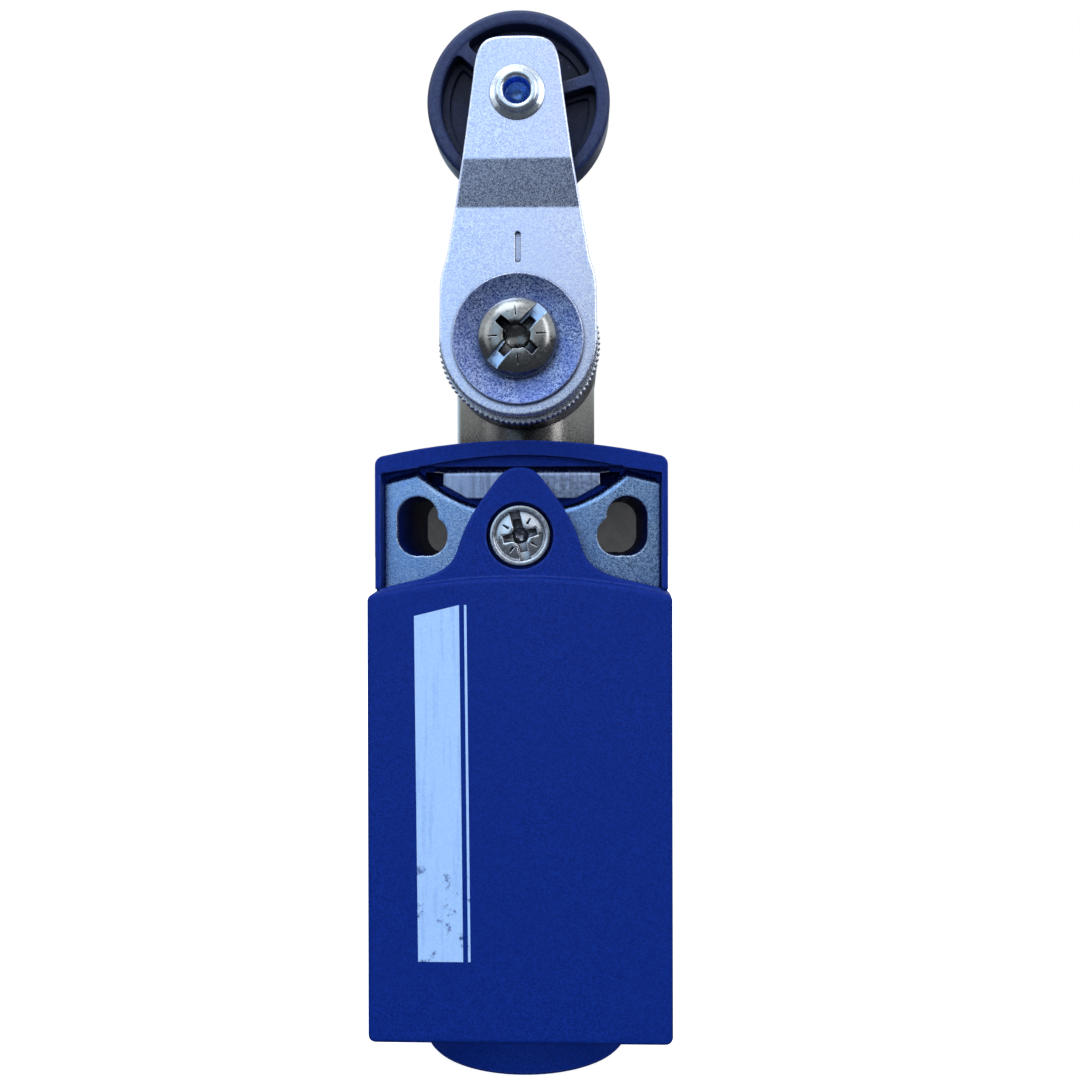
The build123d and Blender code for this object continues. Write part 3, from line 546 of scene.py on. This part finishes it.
cameraLook = {"right": 5.94, "distance": 159.7, "height": 0.13, "turnLeft": 1.754, "tiltDown": 0.261,
              "roll": 0.116, "lens": 42.2, "sensor": 36.0, "clipStart": 0.005, "clipEnd": 20.0}
studio = {
    "sky": (0.88, 0.94, 1.0), "skyStrength": 1.08, "lowStrength": 0.02, "horizon": (0.05, 0.19),
    "glow": (0.60, 0.80, 1.0), "glowStrength": 1.35, "glowAcross": (0.0, -0.11), "glowEnd": (-0.7, -0.4),
    "glowUp": (-0.10, -0.02), "backdrop": (1.0, 1.0, 1.0),
    "lights": (   # place, size, power, colour, and whether the metal mirrors it
        ("topSoftbox", (-0.12, -0.22, 0.42), (0.30, 0.30), 0.8, (0.95, 0.97, 1.0), True),
        ("leftSoftbox", (-0.42, -0.30, 0.12), (0.20, 0.40), 0.2, (0.90, 0.95, 1.0), True),
        ("rightSoftbox", (0.40, -0.30, 0.16), (0.14, 0.40), 0.5, (0.97, 0.98, 1.0), True),
        ("frontFill", (0.05, -0.55, 0.06), (0.60, 0.20), 1.7, (0.90, 0.95, 1.0), False)),
    "aim": (0.0, -0.02, 0.0)}
floorLook = {"half": 3000.0, "low": (0.045, 0.045, 0.05), "high": (0.06, 0.06, 0.065), "glow": 0.75,
             "seenLow": (0.9, 0.9, 0.9), "seenHigh": (0.94, 0.94, 0.94), "rough": 0.9}
behindLook = {"half": 14.2, "foot": -9.0, "top": 7.5, "gap": 0.3, "glow": 0.03, "low": (0.5, 0.5, 0.5),
              "high": (0.6, 0.6, 0.6), "rough": 0.8}
stageGrain = 900.0


def makeCamera(look):
    data = bpy.data.cameras.new("camera")
    data.lens = look["lens"]
    data.sensor_width = look["sensor"]
    data.clip_start = look["clipStart"]
    data.clip_end = look["clipEnd"]
    camera = bpy.data.objects.new("camera", data)
    camera.location = (look["right"] * mm, -look["distance"] * mm, look["height"] * mm)
    camera.rotation_euler = (math.radians(90 - look["tiltDown"]), math.radians(look["roll"]),
                             math.radians(look["turnLeft"]))
    bpy.context.scene.collection.objects.link(camera)
    bpy.context.scene.camera = camera


def makeWorld(look):
    world = bpy.data.worlds.new("studio")
    bpy.context.scene.world = world
    world.use_nodes = True
    tree = world.node_tree
    tree.nodes.clear()
    output = tree.nodes.new("ShaderNodeOutputWorld")
    seen = tree.nodes.new("ShaderNodeBackground")
    seen.inputs["Color"].default_value = (*look["backdrop"], 1.0)
    lit = tree.nodes.new("ShaderNodeBackground")
    where = tree.nodes.new("ShaderNodeTexCoord")
    split = tree.nodes.new("ShaderNodeSeparateXYZ")
    tree.links.new(where.outputs["Generated"], split.inputs["Vector"])
    rising = spread(tree, split.outputs["Z"], *look["horizon"], look["lowStrength"], look["skyStrength"])
    across = calc(tree, "MULTIPLY", spread(tree, split.outputs["X"], *look["glowAcross"]),
                  spread(tree, split.outputs["X"], *look["glowEnd"]))
    leftward = calc(tree, "MULTIPLY", across, spread(tree, split.outputs["Z"], *look["glowUp"]))
    glowing = calc(tree, "MULTIPLY", leftward, look["glowStrength"])
    tree.links.new(blended(tree, leftward, look["sky"], look["glow"]), lit.inputs["Color"])
    tree.links.new(calc(tree, "MAXIMUM", rising, glowing), lit.inputs["Strength"])
    path = tree.nodes.new("ShaderNodeLightPath")
    eitherShader(tree, path.outputs["Is Camera Ray"], lit.outputs["Background"],
                 seen.outputs["Background"], output)
    bpy.context.scene.view_settings.view_transform = "Standard"


def makeLights(look):
    for name, spot, size, power, colour, mirrored in look["lights"]:
        data = bpy.data.lights.new(name, "AREA")
        data.shape = "RECTANGLE"
        data.size, data.size_y = size
        data.energy = power
        data.color = colour
        light = bpy.data.objects.new(name, data)
        light.location = spot
        light.visible_glossy = mirrored
        light.rotation_euler = (Vector(look["aim"]) - Vector(spot)).to_track_quat("-Z", "Y").to_euler()
        bpy.context.scene.collection.objects.link(light)


def stageQuad(name, corners, material):
    mesh = bpy.data.meshes.new(name)
    mesh.from_pydata([tuple(v * mm for v in corner) for corner in corners], [], [(0, 1, 2, 3)])
    mesh.materials.append(material)
    quad = bpy.data.objects.new(name, mesh)
    bpy.context.scene.collection.objects.link(quad)


def glowingSurface(tree, shader, low, high, look):
    grain = placed(tree, surfaceGrain, Scale=stageGrain)
    tree.links.new(blended(tree, grain.outputs["Grain"], low, high), shader.inputs["Base Color"])
    shader.inputs["Roughness"].default_value = look["rough"]
    shader.inputs["Emission Color"].default_value = (1.0, 1.0, 1.0, 1.0)
    shader.inputs["Emission Strength"].default_value = look["glow"]


def makeFloor(look):
    # pale to the eye, but dull to the metal that mirrors it
    material, tree, mirrored = newMaterial("paleFloor")
    grain = placed(tree, surfaceGrain, Scale=stageGrain)
    tree.links.new(blended(tree, grain.outputs["Grain"], look["low"], look["high"]),
                   mirrored.inputs["Base Color"])
    mirrored.inputs["Roughness"].default_value = look["rough"]
    seen = tree.nodes.new("ShaderNodeBsdfPrincipled")
    glowingSurface(tree, seen, look["seenLow"], look["seenHigh"], look)
    path = tree.nodes.new("ShaderNodeLightPath")
    eitherShader(tree, path.outputs["Is Camera Ray"], mirrored.outputs["BSDF"], seen.outputs["BSDF"],
                 tree.nodes["Material Output"])
    half, z = look["half"], caseBox["foot"]
    stageQuad("floor", ((-half, -half, z), (half, -half, z), (half, half, z), (-half, half, z)), material)


def makeSurfaceBehind(look):
    # what the switch is screwed to, for the fixing holes to show; the camera sees through it from behind
    material, tree, shader = newMaterial("surfaceBehind")
    glowingSurface(tree, shader, look["low"], look["high"], look)
    clear = tree.nodes.new("ShaderNodeBsdfTransparent")
    sides = tree.nodes.new("ShaderNodeNewGeometry")
    eitherShader(tree, sides.outputs["Backfacing"], shader.outputs["BSDF"], clear.outputs["BSDF"],
                 tree.nodes["Material Output"])
    half, y, foot, top = look["half"], look["gap"], look["foot"], look["top"]
    stageQuad("surfaceBehind", ((-half, y, foot), (half, y, foot), (half, y, top), (-half, y, top)), material)


makeCamera(cameraLook)
makeWorld(studio)
makeLights(studio)
makeFloor(floorLook)
makeSurfaceBehind(behindLook)
print("camera, lights and stage made")


# printed mark on the cover: a plain bar with a cut top, and a thin line beside it

printed = {"left": -10.5, "right": -6.0, "top": -6.9, "cut": 1.1, "bottom": -42.5, "lineLeft": -5.5,
           "lineWide": 0.24, "lean": 0.55, "thick": 0.03, "ink": (0.28, 0.45, 0.77),
           "inkPale": (0.42, 0.59, 0.84), "inkDark": (0.16, 0.31, 0.66), "grain": 5200.0, "cloud": 260.0,
           "streaks": 2600.0, "darkShare": 0.45, "paleShare": 0.3, "rough": (0.42, 0.56),
           "scuff": (0.03, 0.06, 0.22), "scuffScale": 620.0, "scuffEdge": (0.56, 0.66), "scuffFrom": -30.0,
           "scuffFull": -34.5}


def printedInk(look):
    material, tree, shader = newMaterial("printedInk")
    grain = placed(tree, surfaceGrain, **{"Scale": look["grain"], "Cloud Scale": look["cloud"]})
    streaks = placed(tree, uprightStreaks, Scale=look["streaks"], Low=0.5, High=0.64)
    dark = calc(tree, "MULTIPLY", streaks.outputs["Streaks"], look["darkShare"])
    pale = calc(tree, "MULTIPLY", grain.outputs["Grain"], look["paleShare"])
    colour = blended(tree, pale, blended(tree, dark, look["ink"], look["inkDark"]), look["inkPale"])
    scuffs = textureAt(tree, "ShaderNodeTexNoise", Scale=look["scuffScale"], Detail=6.0, Roughness=0.7)
    split = tree.nodes.new("ShaderNodeSeparateXYZ")
    tree.links.new(scuffs.inputs["Vector"].links[0].from_socket, split.inputs["Vector"])
    low = spread(tree, split.outputs["Z"], look["scuffFrom"] * mm, look["scuffFull"] * mm)
    marks = calc(tree, "MULTIPLY", spread(tree, scuffs.outputs["Fac"], *look["scuffEdge"]), low)
    tree.links.new(blended(tree, marks, colour, look["scuff"]), shader.inputs["Base Color"])
    rough = spread(tree, grain.outputs["Cloud"], 0.0, 1.0, *look["rough"])
    tree.links.new(rough, shader.inputs["Roughness"])
    return material


def makePrintedMark(look):
    ink = printedInk(look)
    lean = math.tan(math.radians(look["lean"]))
    back, fore = coverBox["front"] - look["thick"], coverBox["front"] + look["thick"] * 0.5
    barTop, lineRight = look["top"] - look["cut"], look["lineLeft"] + look["lineWide"]
    for name, left, right, leftTop in (("printed_bar", look["left"], look["right"], barTop),
                                       ("printed_line", look["lineLeft"], lineRight, look["top"])):
        corners = ((left, look["bottom"]), (right, look["bottom"]), (right, look["top"]), (left, leftTop))
        outline = [(x + (look["top"] - z) * lean, z) for x, z in corners]
        finished(prism(name, outline, back, fore), ink, "housing", "blue_housing")


makePrintedMark(printed)
print("printed mark made")


# recess shared by both screws: a slot with a cross over it, ticks between the wings, and a round well

recess = {"overlap": 0.1, "above": 1.0, "wingRoot": 1.1, "wingTip": 0.8, "wingFoot": 0.82, "tickTip": 0.3,
          "tickFoot": 0.8, "wellFloor": ((0.0, -0.25), (0.55, -0.1), (0.85, 0.2))}


def recessCutters(centre, crown, look):
    above = crown + recess["above"]

    def bar(name, turn, near, far, wide, narrow, deep, foot=1.0):
        outline = barOutline(centre, look["slotAngle"] + turn, near, far, wide, narrow)
        return prism(name, outline, crown - deep, above, foot)

    cutters = [bar("slot", turn, -recess["overlap"], look["slotReach"], look["slotWide"], look["slotWide"],
                   look["slotDeep"]) for turn in (0, 180)]
    for turn in range(0, 360, 90):
        cutters.append(bar("wing", turn, -recess["overlap"], look["wingReach"],
                           look["wingWide"] * recess["wingRoot"], look["wingWide"] * recess["wingTip"],
                           look["wingDeep"], recess["wingFoot"]))
        cutters.append(bar("tick", turn + 45, look["tickNear"], look["tickFar"], look["tickWide"],
                           look["tickWide"] * recess["tickTip"], look["tickDeep"], recess["tickFoot"]))
    well = [(look["wellR"] * share, crown - look["wellDeep"] + rise) for share, rise in recess["wellFloor"]]
    well += [(look["wellR"], above), (0.0, above)]
    cutters.append(turned("well", well, centre, 40))
    return cutters


def shankProfile(look, back, seat):
    # the screw's axis, bevelled tip and shank, up to the underside of the head
    tip = look["tipBevel"]
    return [(0.0, back), (look["shank"] - tip, back), (look["shank"], back + tip), (look["shank"], seat)]


# clamp screw: domed head

clampScrew = {"shank": 1.95, "tipBevel": 0.3, "headR": 3.95, "headGap": 0.02, "rimIn": 0.15, "rimUp": 0.2,
              "rimHigh": 0.55, "crownFlat": 1.7, "slotAngle": 48.0, "slotWide": 1.3, "slotReach": 4.6,
              "slotDeep": 1.0, "wingWide": 1.15, "wingReach": 2.5, "wingDeep": 1.75, "wellR": 1.45,
              "wellDeep": 2.1, "tickNear": 1.8, "tickFar": 2.9, "tickWide": 0.2, "tickDeep": 0.45,
              "soften": 0.05, "nearFloor": 0.03}


def domeProfile(radius, foot, crown, flat, steps=10):
    # from the rim at (radius, foot) up to a flat of the given radius at the crown
    return [(flat + (radius - flat) * math.cos(a), foot + (crown - foot) * math.sin(a))
            for a in (math.pi / 2 * k / steps for k in range(steps + 1))]


def makeClampScrew(look):
    back, foot, crown = screwBox["back"], washerBox["front"], screwBox["front"]
    seat, slotFloor = foot + look["headGap"], crown - look["slotDeep"]
    profile = shankProfile(look, back, seat)
    profile += [(look["headR"] - look["rimIn"], seat), (look["headR"], foot + look["rimUp"])]
    profile += domeProfile(look["headR"], foot + look["rimHigh"], crown, look["crownFlat"])
    profile.append((0.0, crown))
    screw = cut(turned("clamp_screw_detail", profile, hub, 120), recessCutters(hub, crown, look))
    finished(softened(screw, look["soften"]), clampSteel, "lever", "screw_steel", "clamp_screw")
    # the slot floors get the painted reflection
    repainted(screw, slotPaintedReflection, lambda spot: abs(-spot.y / mm - slotFloor) < look["nearFloor"])


makeClampScrew(clampScrew)
print("clamp screw made")


# cover screw: flat head with a raised ring, and a groove inside the ring

coverScrew = {"shank": 1.7, "tipBevel": 0.3, "headR": 3.12, "headHigh": 1.9, "rimIn": 0.1, "ringIn": 2.55,
              "ringHigh": 0.32, "ringBevel": 0.12, "groove": ((0.05, 0.12), (0.22, 0.14), (0.5, 0.02)),
              "faceR": 1.2, "faceRise": 0.06, "faceTop": 0.08, "slotAngle": 103.5, "slotWide": 1.05,
              "slotReach": 2.56, "slotDeep": 0.5, "wingWide": 1.0, "wingReach": 1.85, "wingDeep": 1.2,
              "wellR": 0.95, "wellDeep": 1.5, "tickNear": 1.3, "tickFar": 2.1, "tickWide": 0.3,
              "tickDeep": 0.5, "soften": 0.04}


def makeCoverScrew(look):
    back, crown = coverScrewBox["back"], coverScrewBox["front"]
    seat, dish, bevel = crown - look["headHigh"], crown - look["ringHigh"], look["ringBevel"]
    profile = shankProfile(look, back, seat)
    profile += [(look["headR"], seat), (look["headR"], crown - bevel), (look["headR"] - look["rimIn"], crown),
                (look["ringIn"] + bevel, crown), (look["ringIn"], crown - bevel)]
    profile += [(look["ringIn"] - inwards, dish - down) for inwards, down in look["groove"]]
    profile += [(look["faceR"], dish + look["faceRise"]), (0.0, dish + look["faceTop"])]
    screw = cut(turned("cover_screw_detail", profile, coverScrewAxis, 120),
                recessCutters(coverScrewAxis, dish, look))
    finished(softened(screw, look["soften"]), screwSteel, "housing", "screw_steel", "cover_screw")


makeCoverScrew(coverScrew)
print("cover screw made")


# clamp washer: a flat ring with a burred outer rim

clampWasher = {"inR": 2.06, "outR": 6.45, "bevel": 0.12, "rimEdge": 0.05, "burr": 0.06, "burrWide": 0.22,
               "burrTop": 0.6, "boreBevel": 0.1}


def makeClampWasher(look):
    back, fore = washerBox["back"], washerBox["front"]
    flat, out, inner, bevel = fore - look["burr"], look["outR"], look["inR"], look["bevel"]
    profile = [(inner, back), (out - bevel, back), (out, back + bevel), (out, fore - bevel),
               (out - look["rimEdge"], fore), (out - look["burrWide"] * look["burrTop"], fore),
               (out - look["burrWide"], flat), (inner + look["boreBevel"], flat),
               (inner, flat - look["boreBevel"])]
    finished(turned("clamp_washer_detail", profile, hub, 144), washerZinc, "lever", "zinc_washer",
             "clamp_washer")


makeClampWasher(clampWasher)


# notched washer behind the arm: a flange with a finely serrated rim, and a smaller boss up to the arm

notchedWasher = {"inR": 2.42, "rimGap": 0.02, "teeth": 90, "toothSteps": 4, "toothDeep": 0.16, "bevel": 0.12,
                 "flange": 1.1, "bossIn": 0.87, "bossBevel": 0.1, "smooth": 25}


def makeNotchedWasher(look):
    back, fore = discBox["back"], discBox["front"]
    out = (discBox["right"] - discBox["left"]) / 2 - look["rimGap"]
    seat, boss, bevel = back + look["flange"], out - look["bossIn"], look["bevel"]
    profile = [(look["inR"], back), (out - bevel, back), (out, back + bevel), (out, seat - bevel),
               (out - bevel, seat), (boss, seat), (boss, fore - look["bossBevel"]),
               (boss - look["bossBevel"], fore), (look["inR"], fore)]

    def toothed(radius, depth, step):
        gap = step % look["toothSteps"] >= look["toothSteps"] / 2
        return radius - look["toothDeep"] if gap and radius > out - 1.5 * bevel else radius

    disc = turned("notched_washer_detail", profile, hub, look["teeth"] * look["toothSteps"], toothed)
    finished(disc, discZinc, "lever", "zinc_washer", "notched_washer", smooth=look["smooth"])


makeNotchedWasher(notchedWasher)
print("washers made")


# roller: rim, stepped pockets between three ribs, and a hub

rollerLook = {"rimR": 9.12, "rimDeep": 5.0, "rimBevel": 0.35, "rimWide": 1.35, "rimIn": 0.25, "rimEdge": 0.02,
              "backBevel": 0.2, "backPocket": 1.5, "hubR": 3.4, "hubBevel": 0.1, "boreR": 2.06,
              "ribAngles": (16.5, 136.5, 256.5), "ribWide": 1.15, "ribDrop": 0.2, "pocketGap": 0.1,
              "pocketDeep": 2.3, "cornerR": 0.7, "stepDeep": 0.6, "stepIn": 1.1, "stepOut": 0.7,
              "stepRib": 0.8, "stepCorner": 0.5, "above": 1.0, "soften": 0.12}


def bentCorner(start, corner, end, steps=5):
    return [start * (1 - t) ** 2 + corner * 2 * t * (1 - t) + end * t ** 2
            for t in (k / steps for k in range(steps + 1))]


def windowOutline(centre, inner, outer, start, end, ribWide, corner, steps=16):
    # a stretch of ring between two ribs, with rounded corners
    def spot(radius, angle):
        turn = math.radians(angle)
        return Vector((centre[0] + radius * math.cos(turn), centre[1] + radius * math.sin(turn)))

    def ribHalf(radius):
        return math.degrees(math.asin(ribWide / 2 / radius))

    outline = []
    for radius, beside, first, last, way in ((outer, outer - corner, start, end, 1),
                                             (inner, inner + corner, end, start, -1)):
        a, b = first + way * ribHalf(radius), last - way * ribHalf(radius)
        pull = way * math.degrees(corner / radius)
        outline += bentCorner(spot(beside, first + way * ribHalf(beside)), spot(radius, a),
                              spot(radius, a + pull))
        outline += [spot(radius, a + pull + (b - a - 2 * pull) * k / steps) for k in range(1, steps)]
        outline += bentCorner(spot(radius, b - pull), spot(radius, b),
                              spot(beside, last - way * ribHalf(beside)))
    return [tuple(point) for point in outline]


def makeRoller(look):
    back, hubFore = rollerBox["back"], rollerBox["front"]
    fore, hubR = back + look["rimDeep"], look["hubR"]
    out, bevel, inner = look["rimR"], look["rimBevel"], look["rimR"] - look["rimWide"]
    face, pocketBack = fore - look["ribDrop"], back + look["backPocket"]
    profile = [(look["boreR"], back), (hubR, back), (hubR, pocketBack), (inner, pocketBack),
               (inner, back + look["backBevel"]), (inner + look["backBevel"], back), (out - bevel, back),
               (out, back + bevel), (out, fore - bevel), (out - bevel, fore), (inner + look["rimIn"], fore),
               (inner - look["rimEdge"], face), (hubR, face), (hubR - look["hubBevel"], hubFore),
               (look["boreR"], hubFore)]
    wheel = turned("roller_detail", profile, axle, 180)
    cutters, angles, pocketFloor = [], look["ribAngles"], fore - look["pocketDeep"]
    for start, end in zip(angles, angles[1:] + (angles[0] + 360,)):
        pocket = windowOutline(axle, hubR + look["pocketGap"], inner, start, end, look["ribWide"],
                               look["cornerR"])
        cutters.append(prism("pocket", pocket, pocketFloor, fore + look["above"]))
        step = windowOutline(axle, hubR + look["stepIn"], inner - look["stepOut"], start, end,
                             look["ribWide"] + look["stepRib"], look["stepCorner"])
        cutters.append(prism("step", step, pocketFloor - look["stepDeep"], fore))
    cut(wheel, cutters)
    finished(softened(wheel, look["soften"], 3), rollerMoulding, "roller", "roller_plastic", "roller")


makeRoller(rollerLook)
print("roller made")


# roller rivet: sloping flange with a rolled rim round its hole

rivetLook = {"backR": 3.2, "backThick": 0.8, "backBevel": 0.3, "shank": 2.0, "gap": 0.01, "flangeR": 2.68,
             "flangeBevel": 0.06, "flangeEdge": 0.12, "slopeTop": 0.42, "rollOut": 2.12, "rollIn": 1.28,
             "rollSteps": 12, "holeDeep": 1.8, "holeTaper": 0.98, "coneR": 0.6, "coneEdge": 0.35,
             "coneDeep": 0.8, "paintBelow": 1.0}


def makeRivet(look):
    back, crown, seat = rivetBox["back"], rivetBox["front"], armBox["front"]
    headTop, under, bevel = back + look["backThick"], seat + look["gap"], look["flangeBevel"]
    hole = crown - look["holeDeep"]
    mid, half = (look["rollOut"] + look["rollIn"]) / 2, (look["rollOut"] - look["rollIn"]) / 2
    profile = [(0.0, back), (look["backR"] - look["backBevel"], back),
               (look["backR"], back + look["backBevel"]), (look["backR"], headTop), (look["shank"], headTop),
               (look["shank"], under), (look["flangeR"] - bevel, under), (look["flangeR"], seat + bevel),
               (look["flangeR"], seat + look["flangeEdge"]),
               (look["rollOut"] + bevel, seat + look["slopeTop"])]
    profile += [(mid + half * math.cos(a), crown - half + half * math.sin(a)) for a in
                (math.pi * k / look["rollSteps"] for k in range(look["rollSteps"] + 1))]
    profile += [(look["rollIn"] * look["holeTaper"], hole),
                (look["rollIn"] * look["coneR"], hole - look["coneEdge"]), (0.0, hole - look["coneDeep"])]
    rivet = turned("roller_rivet_detail", profile, axle)
    finished(rivet, rivetSteel, "lever", "bright_rivet", "roller_rivet")

    def inHole(spot):
        away = math.hypot(spot.x / mm - axle[0], spot.z / mm - axle[1])
        return -spot.y / mm > hole - look["paintBelow"] and away < look["rollIn"]

    # the inside of the hole gets the painted shade
    repainted(rivet, holePaintedShade, inHole)


makeRivet(rivetLook)
print("rivet made")


# thread in the cable entry: a ridge that winds up inside the collar

threadLook = {"wallR": 7.19, "wall": 0.15, "ridge": 0.22, "pitch": 1.5, "lead": 0.6, "long": 6.4,
              "around": 72, "rows": 8, "fadeRows": 4}


def makeEntryThread(look):
    rows = int(look["long"] / look["pitch"] * look["rows"])
    rise, out = look["long"] / rows, look["wallR"] + look["wall"]
    foot = caseBox["foot"] + look["lead"]
    verts, faces = [], []
    for k in range(look["around"]):
        turn = k / look["around"]
        angle = 2 * math.pi * turn
        column = []
        for row in range(rows + 1):
            phase = (row * rise / look["pitch"] - turn) % 1.0
            fade = min(1.0, row / look["fadeRows"], (rows - row) / look["fadeRows"])
            high = look["ridge"] * fade * (1 - abs(2 * phase - 1))
            column.append((look["wallR"] - high, foot + row * rise))
        column += [(out, foot + look["long"]), (out, foot)]
        verts += [((neckAxis[0] + r * math.cos(angle)) * mm, (-neckAxis[1] + r * math.sin(angle)) * mm,
                   z * mm) for r, z in column]
    count = rows + 3
    for k in range(look["around"]):
        here, there = k * count, after(k, look["around"]) * count
        faces += [(here + j, here + after(j, count), there + after(j, count), there + j)
                  for j in range(count)]
    mesh = bpy.data.meshes.new("entry_thread")
    mesh.from_pydata(verts, [], faces)
    finished(newPiece("entry_thread", mesh), blueMoulding, "housing", "blue_housing")


makeEntryThread(threadLook)
print("entry thread made")
